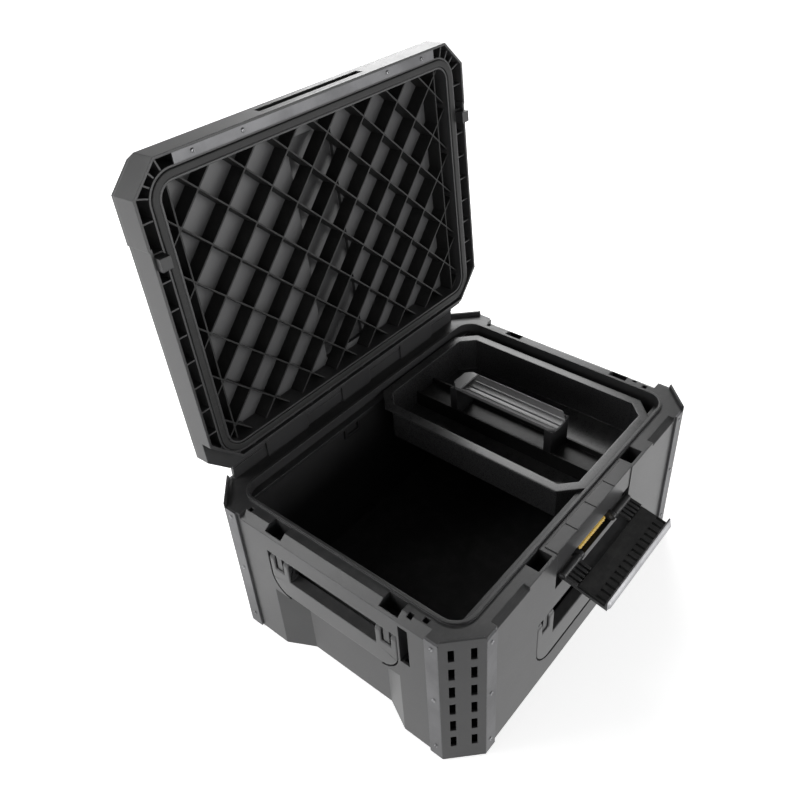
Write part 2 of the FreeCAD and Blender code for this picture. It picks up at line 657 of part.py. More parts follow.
for hub_x in (BAY_HALF_W - BAY_R, -BAY_HALF_W + BAY_R):
    for hub_y in (BAY_FRONT + BAY_R, BAY_REAR - BAY_R):
        for turn in (18, 36, 54, 72):
            way = turn if hub_x * hub_y > 0 else -turn
            plate = box(0, RADIAL_L, -half, half, LID_Z0, LID_Z1)
            plate.rotate(ORIGIN, V(0, 0, 1), way if hub_x > 0 else 180 + way)
            plate.translate(V(hub_x, hub_y, 0))
            plates.append(plate)
cross = [p.common(zone) for p in plates]
STRIKE_HALF = LATCH_HALF + STRIKE_SIDE
strike_in = LATCH_Y + HOOK_LEN + 2.0
strike_z1 = FLAP_TOP - HOOK_H - HOOK_GAP
strike = box(-STRIKE_HALF, STRIKE_HALF, LID_FRONT, strike_in, strike_z1 - STRIKE_H, strike_z1)
hook_room = box(-STRIKE_HALF, STRIKE_HALF, LID_FRONT - 1, strike_in, strike_z1 - STRIKE_H,
                strike_z1 + POCKET_TOP)
case_half = STRIKE_HALF + POCKET_WALL
hook_case = box(-case_half, case_half, LID_FRONT + 1, strike_in + POCKET_WALL, strike_z1 - STRIKE_H,
                strike_z1 + POCKET_TOP + POCKET_WALL)
lid = lid.fuse(channel + [hook_case] + [s for piece in cross for s in piece.Solids])
case_y0 = knuckle_front - KNUCKLE_GAP - LID_T
blocks = []
for x0, x1 in LID_KNUCKLES:
    blocks.append(box(x0, x1, case_y0, HINGE_Y, HINGE_Z - HINGE_R, LID_Z1))
    blocks.append(rod_x(x0, x1, HINGE_Y, HINGE_Z, HINGE_R))
    blocks.append(box(x0, x1, HINGE_Y, HINGE_Y + STOP_L, HINGE_Z + STOP_UP - STOP_T, HINGE_Z + STOP_UP))
notches = [rod_x(-FACE_X, FACE_X, HINGE_Y, HINGE_Z, PIN_R + PIN_RUN), hook_room]
for x0, x1 in TUB_KNUCKLES:
    side = KNUCKLE_GAP + LID_T
    blocks.append(box(x0 - side, x1 + side, case_y0, OVER_REAR, over_z, LID_Z1))
    notches.append(box(x0 - KNUCKLE_GAP, x1 + KNUCKLE_GAP, knuckle_front - KNUCKLE_GAP,
                       HINGE_Y + 2 * HINGE_R, LID_Z0, LID_Z1 + 1))
lid = lid.fuse(blocks).cut(notches)

lattice_zone = rounded(seal_in - SEAL_WALL, RIB_Z0, ceiling_z)
ribs = []
reach = BAY_HALF_W + BAY_REAR
lattice_rows = math.ceil(reach / LATTICE_PITCH)
for k in range(-lattice_rows, lattice_rows + 1):
    for base, turn in ((LATTICE_SUM, -45), (LATTICE_DIFF, 45)):
        plate = box(-reach, reach, -half, half, RIB_Z0, ceiling_z)
        plate.rotate(ORIGIN, V(0, 0, 1), turn)
        plate.translate(V(base + k * LATTICE_PITCH, 0, 0))
        ribs.append(plate)
for x in (-BORDER_RIB_X, BORDER_RIB_X):
    ribs.append(box(x - half, x + half, -reach, reach, RIB_Z0, ceiling_z))
pieces = [s for r in ribs for s in r.common(lattice_zone).Solids]
lattice = pieces[0].fuse(pieces[1:])

STRIP_HALF = LID_HALF_W - STRIP_IN
strip_y0 = LID_FRONT + LID_T
strip_y1 = BAY_FRONT - seal_out - SEAL_WALL
strip_z1 = wall_z0 + 1
strip = box(-STRIP_HALF, STRIP_HALF, strip_y0, strip_y1, strip_z1 - STRIP_T, strip_z1)
screw_in = (int(STRIKE_HALF / CROSS_PITCH) + 1.5) * CROSS_PITCH
screw_out = (columns - 0.5) * CROSS_PITCH
strip_screws = []
strip_mid = (strip_y0 + strip_y1) / 2
for x in (-screw_out, -screw_in, screw_in, screw_out):
    shank = Part.makeCylinder(SCREW_R, STRIP_T + 4, V(x, strip_mid, strip_z1 - STRIP_T))
    strip = strip.cut(shank)
    head = Part.makeCylinder(SCREW_HEAD_R, 0.8, V(x, strip_mid, strip_z1 - STRIP_T - 0.8))
    strip_screws.append(shank.fuse(head))
tab_y0 = (1 - rows) * CROSS_PITCH + half + 0.1
tab = box(REAR_STEP_X, LID_HALF_W - LID_SET_IN - LID_T, tab_y0, tab_y0 + TAB_L, LID_Z0 - TAB_DROP,
          wall_z0 + 1)
cleat_x1 = LID_HALF_W - CLEAT_IN
cleat_y1 = LID_REAR - CLEAT_REAR_IN
front_cleat = octagon(CLEAT_X0, cleat_x1, LID_FRONT + LID_BEVEL + 2, LID_FRONT + CLEAT_FRONT_L, 8, LID_Z1,
                      LID_Z1 + SPINE_H)
rear_cleat = octagon(CLEAT_X0, cleat_x1, cleat_y1 - CLEAT_REAR_L, cleat_y1, 8, LID_Z1, LID_Z1 + SPINE_H)
cleats = pair([front_cleat, rear_cleat])
seal = ring(-SEAL_IN, SEAL_OUT, SEAL_Z0, seal_top)

lid_nodes = {"lid_shell": lid, "lid_lattice": lattice, "lid_seal": seal, "lid_front_strip": strip,
             "lid_strip_screws": Part.makeCompound(strip_screws), "lid_strike": strike,
             "lid_side_tabs": Part.makeCompound([tab, flip_x(tab)]),
             "lid_cleats": Part.makeCompound(cleats)}
for name, shape in lid_nodes.items():
    save(name, swung(shape, HINGE_Y, HINGE_Z, -LID_OPEN))

# Latch, built closed.
mount = box(-MOUNT_HALF, MOUNT_HALF, MOUNT_FRONT, MOUNT_REAR, MOUNT_STEP, MOUNT_TOP)
mount = mount.fuse(box(-MOUNT_HALF, MOUNT_HALF, MOUNT_BACK_FACE, MOUNT_REAR, MOUNT_Z0, MOUNT_STEP + 1))
for x in (-MOUNT_HALF / 2, 0, MOUNT_HALF / 2):
    groove = box(x - 0.8, x + 0.8, MOUNT_FRONT - 1, MOUNT_REAR + 1, MOUNT_TOP - 1, MOUNT_TOP + 1)
    mount = mount.cut(groove)
for x0, x1 in ((-LUG_X1, -LUG_X0), (LUG_X0, LUG_X1)):
    lug = box(x0, x1, LATCH_Y, MOUNT_BACK_FACE + 1, LATCH_Z - LATCH_R, LATCH_Z + LATCH_R)
    mount = mount.fuse(lug.fuse(rod_x(x0, x1, LATCH_Y, LATCH_Z, LATCH_R)))
pin_half = LATCH_HALF - 0.5
latch_pins = pair([rod_x(LUG_X0, pin_half, LATCH_Y, LATCH_Z, LATCH_PIN_R)])
mount = mount.cut(latch_pins)
catch = box(-CATCH_HALF, CATCH_HALF, MOUNT_BACK_FACE - 7, MOUNT_BACK_FACE, LATCH_Z - 5, LATCH_Z + 4)
save("latch_mount", mount)
save("latch_pin", Part.makeCompound(latch_pins))
save("latch_catch", catch)

flap_in = LATCH_Y
flap_out = LATCH_Y - FLAP_T
root = LATCH_Z + LATCH_R + 1.5
flap = box(-LATCH_HALF, LATCH_HALF, flap_out, flap_in, root, FLAP_TOP)
hook = box(-LATCH_HALF, LATCH_HALF, flap_in - 1, flap_in + HOOK_LEN, FLAP_TOP - HOOK_H, FLAP_TOP)
hook_tip = flap_in + HOOK_LEN
slope = [(flap_out, FLAP_TOP), (hook_tip, FLAP_TOP - HOOK_SLOPE), (hook_tip + 1, FLAP_TOP + 1)]
flap = flap.fuse(hook).cut(along_x(slope, -FACE_X, FACE_X))
extra = []
fingers = int((LATCH_HALF - LUG_X1 - 4) / COMB_PITCH) + 1
for sx in (-1, 1):
    x0, x1 = sorted((sx * (LUG_X1 + 0.7), sx * LATCH_HALF))
    extra.append(rod_x(x0, x1, LATCH_Y, LATCH_Z, LATCH_R))
    extra.append(box(x0, x1, flap_out, flap_in, LATCH_Z, root + 1))
    for i in range(fingers):
        x = sx * (LATCH_HALF - 2 - i * COMB_PITCH)
        extra.append(box(x - 1.8, x + 1.8, flap_in - 1, flap_in + FINGER_H, LATCH_Z + 4, root + FINGER_L))
flap = flap.fuse(extra).cut(rod_x(-FACE_X, FACE_X, LATCH_Y, LATCH_Z, LATCH_PIN_R + PIN_RUN))
pad_half = LATCH_HALF - 2
pad_z0 = root + FINGER_L + 1
pad_z1 = FLAP_TOP - HOOK_H
pad = box(-pad_half, pad_half, flap_in, flap_in + PAD_T, pad_z0, pad_z1)
grooves = []
pad_rows = int((pad_half - 3) / PAD_PITCH)
for i in range(-pad_rows, pad_rows + 1):
    x = i * PAD_PITCH
    grooves.append(box(x - 2, x + 2, flap_in + 1, flap_in + PAD_T + 1, pad_z1 - 14, pad_z1 + 1))
pad = pad.cut(grooves)
latch_nodes = {"latch_flap": flap, "latch_pad": pad}
for name, shape in latch_nodes.items():
    save(name, swung(shape, LATCH_Y, LATCH_Z, LATCH_OPEN))

# Tray on its rails.
f = TRAY_FLANGE
w = TRAY_WALL
tray_z0 = TRAY_TOP - TRAY_DEPTH
c_in = TRAY_CORNER - f * (2 - ROOT2)
c_out = TRAY_CORNER - (f - w) * (2 - ROOT2)
tray = octagon(TRAY_X0, TRAY_X1, TRAY_Y0, TRAY_Y1, TRAY_CORNER, TRAY_TOP - TRAY_FLANGE_T, TRAY_TOP)
g = f - w
tray = tray.fuse(octagon(TRAY_X0 + g, TRAY_X1 - g, TRAY_Y0 + g, TRAY_Y1 - g, c_out, tray_z0,
                         TRAY_TOP - 1))
tray = tray.cut(octagon(TRAY_X0 + f, TRAY_X1 - f, TRAY_Y0 + f, TRAY_Y1 - f, c_in, tray_z0 + w,
                        TRAY_TOP + 1))
mid_x = (TRAY_X0 + TRAY_X1) / 2 + DIVIDER_SHIFT
floor_z = tray_z0 + w
wall_top = floor_z + DIVIDER_H
d = DIVIDER_HALF
y0 = TRAY_Y0 + f
y1 = TRAY_Y1 - f
divider = box(mid_x - d, mid_x + d, y0, y1, floor_z, wall_top)
seat = floor_z + SEAT_UP
divider = divider.cut([box(mid_x - d + w, mid_x + d - w, y0 - 1, y1 + 1, seat, wall_top + 1),
                       box(mid_x - d + w, mid_x + d - w, y0 - 1, y1 + 1, floor_z - 1, seat - w)])
grip_y0 = GRIP_Y - GRIP_HALF_L
grip_y1 = GRIP_Y + GRIP_HALF_L
hollow_z = GRIP_TOP + math.sqrt(GRIP_R ** 2 - GRIP_HALF_W ** 2)


def grip_rod(radius, x, z, y0, y1):
    """Rod along the grip."""
    return Part.makeCylinder(radius, y1 - y0, V(x, y0, z), V(0, 1, 0))


bar_z0 = GRIP_TOP - GRIP_BAR_T
handle = box(mid_x - GRIP_BAR_HALF, mid_x + GRIP_BAR_HALF, grip_y0, grip_y1, bar_z0, GRIP_TOP)
foot_half = d - w - GRIP_SEAT
for y in (grip_y0, grip_y1 - POST_T):
    foot = box(mid_x - foot_half, mid_x + foot_half, y, y + POST_T, seat, wall_top + 1)
    post = box(mid_x - d, mid_x + d, y, y + POST_T, wall_top, GRIP_TOP)
    handle = handle.fuse([foot, post])
shell_r = GRIP_R + GRIP_T
handle = handle.cut(grip_rod(shell_r + GRIP_SEAT, mid_x, hollow_z, grip_y0 - 1, grip_y1 + 1))
grip_plan = octagon(mid_x - GRIP_HALF_W, mid_x + GRIP_HALF_W, grip_y0, grip_y1, GRIP_CORNER, bar_z0, GRIP_TOP)
grip = grip_rod(shell_r, mid_x, hollow_z, grip_y0, grip_y1)
grip = grip.cut(grip_rod(GRIP_R, mid_x, hollow_z, grip_y0, grip_y1))
for turn in (-RIDGE_TURN, 0, RIDGE_TURN):
    way = math.radians(turn)
    ridge_z = hollow_z - GRIP_R * math.cos(way)
    grip = grip.fuse(grip_rod(RIDGE_R, mid_x + GRIP_R * math.sin(way), ridge_z, grip_y0, grip_y1))
cap_y0 = grip_y1 - GRIP_CAP_L
cap = grip_rod(shell_r, mid_x, hollow_z, cap_y0, grip_y1)
cap_roof = box(mid_x - GRIP_HALF_W, mid_x + GRIP_HALF_W, cap_y0, grip_y1, GRIP_TOP - GRIP_CAP_T, GRIP_TOP)
grip = grip.fuse(cap.common(cap_roof)).common(grip_plan)
save("tray_shell", tray)
save("tray_divider", divider)
save("tray_handle", handle)
save("tray_grip", grip)
rail_z1 = TRAY_TOP - TRAY_FLANGE_T - RAIL_GAP
bay = rounded(0, FLOOR_T, RIM_Z)
front_rail = box(-FACE_X, FACE_X, BAY_FRONT, BAY_FRONT + RAIL_W, rail_z1 - RAIL_H, rail_z1)
rear_rail = box(-FACE_X, FACE_X, BAY_REAR - RAIL_W, BAY_REAR, rail_z1 - RAIL_H, rail_z1)
save("tray_rail_front", front_rail.common(bay))
save("tray_rail_rear", rear_rail.common(bay))
bracket_z1 = rail_z1 - RAIL_H
bracket_z0 = bracket_z1 - BRACKET_H
bracket_x0 = TRAY_X0 - BRACKET_LEFT
bracket_x1 = bracket_x0 + BRACKET_W
bracket = box(bracket_x0, bracket_x1, BAY_REAR - 4, BAY_REAR, bracket_z0, bracket_z1)
bracket = bracket.cut(box(bracket_x0 + BRACKET_RIM, bracket_x1 - BRACKET_RIM, BAY_REAR - 5, BAY_REAR + 1,
                          bracket_z0 + BRACKET_RIM, bracket_z1 - BRACKET_RIM))
save("rail_bracket", bracket)
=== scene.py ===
"""Looks of the open tool box: finishes, small fittings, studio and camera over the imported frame."""
import json
import logging
import math
from abc import ABC, abstractmethod
from dataclasses import dataclass, field
from enum import Enum
from typing import Any, Iterable, Sequence

import bmesh
import bpy
from mathutils import Matrix, Vector


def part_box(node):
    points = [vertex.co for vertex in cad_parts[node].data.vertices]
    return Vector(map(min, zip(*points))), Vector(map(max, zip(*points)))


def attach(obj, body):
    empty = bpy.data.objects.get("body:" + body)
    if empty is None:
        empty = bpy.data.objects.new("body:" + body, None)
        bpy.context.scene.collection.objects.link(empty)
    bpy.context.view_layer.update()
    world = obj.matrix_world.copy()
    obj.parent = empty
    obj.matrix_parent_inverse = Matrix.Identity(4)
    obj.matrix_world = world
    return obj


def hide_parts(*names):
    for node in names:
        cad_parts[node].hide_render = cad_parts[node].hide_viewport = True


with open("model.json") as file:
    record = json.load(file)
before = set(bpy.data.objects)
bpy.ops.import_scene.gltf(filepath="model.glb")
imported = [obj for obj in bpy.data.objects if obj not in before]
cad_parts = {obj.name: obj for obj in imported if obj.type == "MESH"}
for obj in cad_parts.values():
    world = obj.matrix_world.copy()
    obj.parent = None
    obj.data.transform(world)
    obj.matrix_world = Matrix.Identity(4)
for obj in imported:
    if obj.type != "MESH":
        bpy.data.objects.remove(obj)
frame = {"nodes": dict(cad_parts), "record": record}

LOG = logging.getLogger("tool_box")
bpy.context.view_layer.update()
Colour = tuple[float, float, float]
MM = 0.001
SAME_POINT_DIGITS = 5


def joint_row(name: str) -> dict[str, Any]:
    """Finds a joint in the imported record.

    Args:
        name: The joint's name.

    Returns:
        The joint's row, with its place and range.
    """
    return next(row for row in frame["record"]["behaviour"]["joints"] if row["name"] == name)


@dataclass(frozen=True)
class LidSwing:
    """How the lid stands open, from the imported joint.

    On the shut lid, the inner skin lies skin_up above the axis; skin_near is how close a point counts as on it.
    """

    skin_up: float = 3.5 * MM
    skin_near: float = 0.0005

    @property
    def joint(self) -> dict[str, Any]:
        """The lid's joint in the record."""
        return joint_row("lid_hinge")

    @property
    def hinge(self) -> Vector:
        """A point on the lid's axis."""
        return Vector(self.joint["pos_m"])

    def turned(self, way: Vector) -> Vector:
        """Turns a direction of the closed lid to the open lid.

        Args:
            way: Direction on the closed lid.

        Returns:
            The same direction on the open lid.
        """
        return Matrix.Rotation(-math.radians(self.joint["range_deg"][1]), 3, "X") @ way


class FinishName(Enum):
    """Finishes that the pieces can wear."""

    SHELL = "shell_plastic"
    LID = "lid_plastic"
    LATTICE = "lattice_plastic"
    GUARD = "guard_plastic"
    HANDLE = "handle_plastic"
    TRAY = "tray_plastic"
    TRIM = "trim_plastic"
    GRIP = "grip_plastic"
    RUBBER = "seal_rubber"
    # Painted shade: near-black matt sheet behind the guard slots.
    PAINTED_SHADE = "painted_shade_sheet"
    STRIP = "anodised_strip"
    STEEL = "zinc_steel"
    CATCH = "amber_catch"


class Effect(Enum):
    """Shader groups that several finishes share."""

    GRAIN = "moulded_grain"
    SCUFF = "scuff_marks"
    WEAR = "edge_wear"
    DUST = "settled_dust"


class Graph:
    """Adds and joins the nodes of one shader tree."""

    def __init__(self, tree: bpy.types.NodeTree) -> None:
        """Keeps the tree that the nodes go into.

        Args:
            tree: The node tree of a material, a world or a group.
        """
        self.tree = tree

    def add(self, kind: str, **values: Any) -> bpy.types.Node:
        """Adds a node.

        Args:
            kind: Blender's name of the node type.
            values: Properties of the node, or inputs by name with spaces written as underscores.

        Returns:
            The new node.
        """
        node = self.tree.nodes.new(kind)
        for key, value in values.items():
            if hasattr(node, key):
                setattr(node, key, value)
            else:
                node.inputs[key.replace("_", " ")].default_value = value
        return node

    def join(self, out: bpy.types.NodeSocket, into: bpy.types.NodeSocket) -> None:
        """Links an output to an input.

        Args:
            out: The output socket.
            into: The input socket.
        """
        self.tree.links.new(out, into)

    def math(self, operation: str, first: Any, second: Any = None) -> bpy.types.NodeSocket:
        """Adds a math node.

        Args:
            operation: Blender's name of the operation.
            first: A number or an output socket.
            second: A number or an output socket, if the operation takes two.

        Returns:
            The value that comes out.
        """
        node = self.tree.nodes.new("ShaderNodeMath")
        node.operation = operation
        for socket, value in zip(node.inputs, (first, second)):
            if isinstance(value, bpy.types.NodeSocket):
                self.join(value, socket)
            elif value is not None:
                socket.default_value = value
        return node.outputs[0]

    def ramp(self, value: bpy.types.NodeSocket, low: float, high: float) -> bpy.types.NodeSocket:
        """Spreads a value smoothly over 0 to 1.

        Args:
            value: The value to spread.
            low: Where 0 begins.
            high: Where 1 is reached.

        Returns:
            The spread value.
        """
        node = self.add("ShaderNodeMapRange", interpolation_type="SMOOTHSTEP")
        node.inputs["From Min"].default_value = low
        node.inputs["From Max"].default_value = high
        self.join(value, node.inputs["Value"])
        return node.outputs["Result"]

    def blend(self, mask: bpy.types.NodeSocket, first: Any, second: Any) -> bpy.types.NodeSocket:
        """Mixes two colours by a mask.

        Args:
            mask: 0 gives the first colour, 1 the second.
            first: A colour or an output socket.
            second: A colour or an output socket.

        Returns:
            The mixed colour.
        """
        node = self.tree.nodes.new("ShaderNodeMix")
        node.data_type = "RGBA"
        self.join(mask, node.inputs["Factor"])
        for socket, value in ((node.inputs[6], first), (node.inputs[7], second)):
            if isinstance(value, bpy.types.NodeSocket):
                self.join(value, socket)
            else:
                socket.default_value = (*value, 1.0)
        return node.outputs[2]


class Effects:
    """Builds each shared shader group once."""

    GRAIN_SHARES = (0.55, 0.45)
    GRAIN_NOISE = 0.45
    MOTTLE_SCALE = 14.0
    MOTTLE_RANGE = (0.3, 0.7)
    SCUFF_LAYS = ((0.35, 26.0), (-0.8, 34.0))
    SCUFF_TILT = 0.6
    SCUFF_RANGE = (0.66, 0.74)
    PATCH_SCALE = 9.0
    PATCH_RANGE = (0.42, 0.68)
    RUB_SCALE = 120.0
    RUB_RANGE = (0.35, 0.65)
    EDGE_RANGE = (0.01, 0.16)
    DUST_SCALE = 45.0
    DUST_RANGE = (0.4, 0.75)
    UPWARD_RANGE = (0.55, 1.0)

    def __init__(self) -> None:
        """Builds the four groups."""
        self.trees: dict[Effect, bpy.types.NodeTree] = {}
        self._grain()
        self._scuff()
        self._wear()
        self._dust()

    def _new(self, effect: Effect, inputs: Sequence[tuple[str, float]], outputs: Sequence[str],
             kinds: dict[str, str] | None = None) -> tuple[Graph, bpy.types.Node, bpy.types.Node]:
        """Starts a group.

        Args:
            effect: Which group it is.
            inputs: Names and first values of the number inputs.
            outputs: Names of the outputs.
            kinds: Socket types of the outputs that aren't numbers.

        Returns:
            The graph, and its input and output nodes.
        """
        tree = bpy.data.node_groups.new(effect.value, "ShaderNodeTree")
        for label, value in inputs:
            socket = tree.interface.new_socket(name=label, in_out="INPUT", socket_type="NodeSocketFloat")
            socket.default_value = value
        for label in outputs:
            kind = (kinds or {}).get(label, "NodeSocketFloat")
            tree.interface.new_socket(name=label, in_out="OUTPUT", socket_type=kind)
        self.trees[effect] = tree
        graph = Graph(tree)
        return graph, graph.add("NodeGroupInput"), graph.add("NodeGroupOutput")

    def _grain(self) -> None:
        """Fine moulded texture, and slow mottling of the colour."""
        graph, ins, outs = self._new(Effect.GRAIN, (("Scale", 1200.0),), ("Height", "Mottle"))
        place = graph.add("ShaderNodeTexCoord")
        cells = graph.add("ShaderNodeTexVoronoi", feature="SMOOTH_F1", Smoothness=0.6)
        noise = graph.add("ShaderNodeTexNoise", Detail=3.0, Roughness=0.6)
        slow = graph.add("ShaderNodeTexNoise", Scale=self.MOTTLE_SCALE, Detail=4.0, Roughness=0.55)
        for node in (cells, noise, slow):
            graph.join(place.outputs["Object"], node.inputs["Vector"])
        graph.join(ins.outputs["Scale"], cells.inputs["Scale"])
        graph.join(graph.math("MULTIPLY", ins.outputs["Scale"], self.GRAIN_NOISE), noise.inputs["Scale"])
        cell_share, noise_share = self.GRAIN_SHARES
        height = graph.math("ADD", graph.math("MULTIPLY", cells.outputs["Distance"], cell_share),
                            graph.math("MULTIPLY", noise.outputs["Fac"], noise_share))
        graph.join(height, outs.inputs["Height"])
        graph.join(graph.ramp(slow.outputs["Fac"], *self.MOTTLE_RANGE), outs.inputs["Mottle"])

    def _scuff(self) -> None:
        """Thin scratches that run two ways."""
        graph, ins, outs = self._new(Effect.SCUFF, (("Scale", 60.0), ("Amount", 0.3)), ("Mask",))
        place = graph.add("ShaderNodeTexCoord")
        masks = []
        for turn, stretch in self.SCUFF_LAYS:
            lay = graph.add("ShaderNodeMapping")
            lay.inputs["Rotation"].default_value = (turn, self.SCUFF_TILT * turn, turn)
            lay.inputs["Scale"].default_value = (1.0, stretch, stretch)
            line = graph.add("ShaderNodeTexNoise", Detail=1.0)
            graph.join(place.outputs["Object"], lay.inputs["Vector"])
            graph.join(lay.outputs["Vector"], line.inputs["Vector"])
            graph.join(ins.outputs["Scale"], line.inputs["Scale"])
            masks.append(graph.ramp(line.outputs["Fac"], *self.SCUFF_RANGE))
        patch = graph.add("ShaderNodeTexNoise", Scale=self.PATCH_SCALE, Detail=2.0)
        graph.join(place.outputs["Object"], patch.inputs["Vector"])
        lines = graph.math("MAXIMUM", *masks)
        lines = graph.math("MULTIPLY", lines, graph.ramp(patch.outputs["Fac"], *self.PATCH_RANGE))
        graph.join(graph.math("MULTIPLY", lines, ins.outputs["Amount"]), outs.inputs["Mask"])

    def _wear(self) -> None:
        """Rubbed edges, broken up by noise, and the normal of a rounded edge."""
        graph, ins, outs = self._new(Effect.WEAR, (("Width", 0.0015), ("Amount", 0.4)), ("Mask", "Normal"),
                                     {"Normal": "NodeSocketVector"})
        place = graph.add("ShaderNodeTexCoord")
        shape = graph.add("ShaderNodeNewGeometry")
        eased = graph.add("ShaderNodeBevel", samples=4)
        graph.join(ins.outputs["Width"], eased.inputs["Radius"])
        dot = graph.add("ShaderNodeVectorMath", operation="DOT_PRODUCT")
        graph.join(shape.outputs["Normal"], dot.inputs[0])
        graph.join(eased.outputs["Normal"], dot.inputs[1])
        turn = graph.math("SUBTRACT", 1.0, dot.outputs["Value"])
        noise = graph.add("ShaderNodeTexNoise", Scale=self.RUB_SCALE, Detail=5.0, Roughness=0.65)
        graph.join(place.outputs["Object"], noise.inputs["Vector"])
        edge = graph.math("MULTIPLY", graph.ramp(turn, *self.EDGE_RANGE),
                          graph.ramp(noise.outputs["Fac"], *self.RUB_RANGE))
        graph.join(graph.math("MULTIPLY", edge, ins.outputs["Amount"]), outs.inputs["Mask"])
        graph.join(eased.outputs["Normal"], outs.inputs["Normal"])

    def _dust(self) -> None:
        """Thin dust on faces that point up when the piece is at rest."""
        graph, ins, outs = self._new(Effect.DUST, (("Amount", 0.2),), ("Mask",))
        place = graph.add("ShaderNodeTexCoord")
        split = graph.add("ShaderNodeSeparateXYZ")
        graph.join(place.outputs["Normal"], split.inputs[0])
        noise = graph.add("ShaderNodeTexNoise", Scale=self.DUST_SCALE, Detail=6.0, Roughness=0.7)
        graph.join(place.outputs["Object"], noise.inputs["Vector"])
        mask = graph.math("MULTIPLY", graph.ramp(split.outputs["Z"], *self.UPWARD_RANGE),
                          graph.ramp(noise.outputs["Fac"], *self.DUST_RANGE))
        graph.join(graph.math("MULTIPLY", mask, ins.outputs["Amount"]), outs.inputs["Mask"])

    def place(self, graph: Graph, effect: Effect, **values: float) -> bpy.types.Node:
        """Puts a group into a material.

        Args:
            graph: The material's graph.
            effect: Which group.
            values: The group's inputs in this material.

        Returns:
            The group node.
        """
        node = graph.add("ShaderNodeGroup")
        node.node_tree = self.trees[effect]
        for label, value in values.items():
            node.inputs[label].default_value = value
        return node


@dataclass(frozen=True)
class Plastic:
    """Moulded plastic or rubber."""

    name: FinishName
    base: Colour
    mottle: Colour
    rough: float
    grain: float = 1100.0
    depth: float = 0.000012
    wear: float = 0.35
    worn: Colour = (0.12, 0.12, 0.122)
    dust: float = 0.15
    scuff: float = 0.3
    level: float = 0.5
    edge: float = 0.0016
    # Lighter tone of the lid's inner skin between the lattice ribs: painted light for the lit cell floors, not
    # a colour of the plastic.
    skin: Colour | None = None
    scuff_scale: float = 60.0
    rough_sway: float = 0.10
    dust_tone: Colour = (0.16, 0.155, 0.15)
    dust_dull: float = 0.4

    def painted_light_skin_mask(self, graph: Graph) -> bpy.types.NodeSocket:
        """Masks the lid's smooth inner skin, which lies in one plane, for the painted light on the cell floors.

        Args:
            graph: The material's graph.

        Returns:
            1 on the skin, 0 elsewhere.
        """
        place = graph.add("ShaderNodeTexCoord")
        lie = graph.add("ShaderNodeVectorMath", operation="DOT_PRODUCT")
        graph.join(place.outputs["Object"], lie.inputs[0])
        swing = LidSwing()
        outward = swing.turned(Vector((0.0, 0.0, 1.0)))
        lie.inputs[1].default_value = outward
        level = outward.dot(swing.hinge) + swing.skin_up
        near = graph.math("ABSOLUTE", graph.math("SUBTRACT", lie.outputs["Value"], level))
        return graph.math("LESS_THAN", near, swing.skin_near)

    def build(self, effects: Effects) -> bpy.types.Material:
        """Makes the material.

        Args:
            effects: The shared groups.

        Returns:
            The finished material.
        """
        material = bpy.data.materials.new(self.name.value)
        material.use_nodes = True
        graph = Graph(material.node_tree)
        shader = material.node_tree.nodes["Principled BSDF"]
        shader.inputs["Specular IOR Level"].default_value = self.level
        grain = effects.place(graph, Effect.GRAIN, Scale=self.grain)
        scuff = effects.place(graph, Effect.SCUFF, Scale=self.scuff_scale, Amount=self.scuff)
        wear = effects.place(graph, Effect.WEAR, Width=self.edge, Amount=self.wear)
        dust = effects.place(graph, Effect.DUST, Amount=self.dust)
        colour = graph.blend(grain.outputs["Mottle"], self.base, self.mottle)
        colour = graph.blend(scuff.outputs["Mask"], colour, self.worn)
        colour = graph.blend(wear.outputs["Mask"], colour, self.worn)
        colour = graph.blend(dust.outputs["Mask"], colour, self.dust_tone)
        # Painted light: the lid's inner skin (the cell floors) takes the lighter skin tone.
        if self.skin:
            colour = graph.blend(self.painted_light_skin_mask(graph), colour, self.skin)
        graph.join(colour, shader.inputs["Base Color"])
        rough = graph.math("MULTIPLY_ADD", grain.outputs["Height"], self.rough_sway)
        rough.node.inputs[2].default_value = self.rough - self.rough_sway / 2
        rough = graph.math("ADD", rough, graph.math("MULTIPLY", dust.outputs["Mask"], self.dust_dull))
        graph.join(rough, shader.inputs["Roughness"])
        bump = graph.add("ShaderNodeBump", Strength=1.0, Distance=self.depth)
        graph.join(grain.outputs["Height"], bump.inputs["Height"])
        graph.join(wear.outputs["Normal"], bump.inputs["Normal"])
        graph.join(bump.outputs["Normal"], shader.inputs["Normal"])
        return material


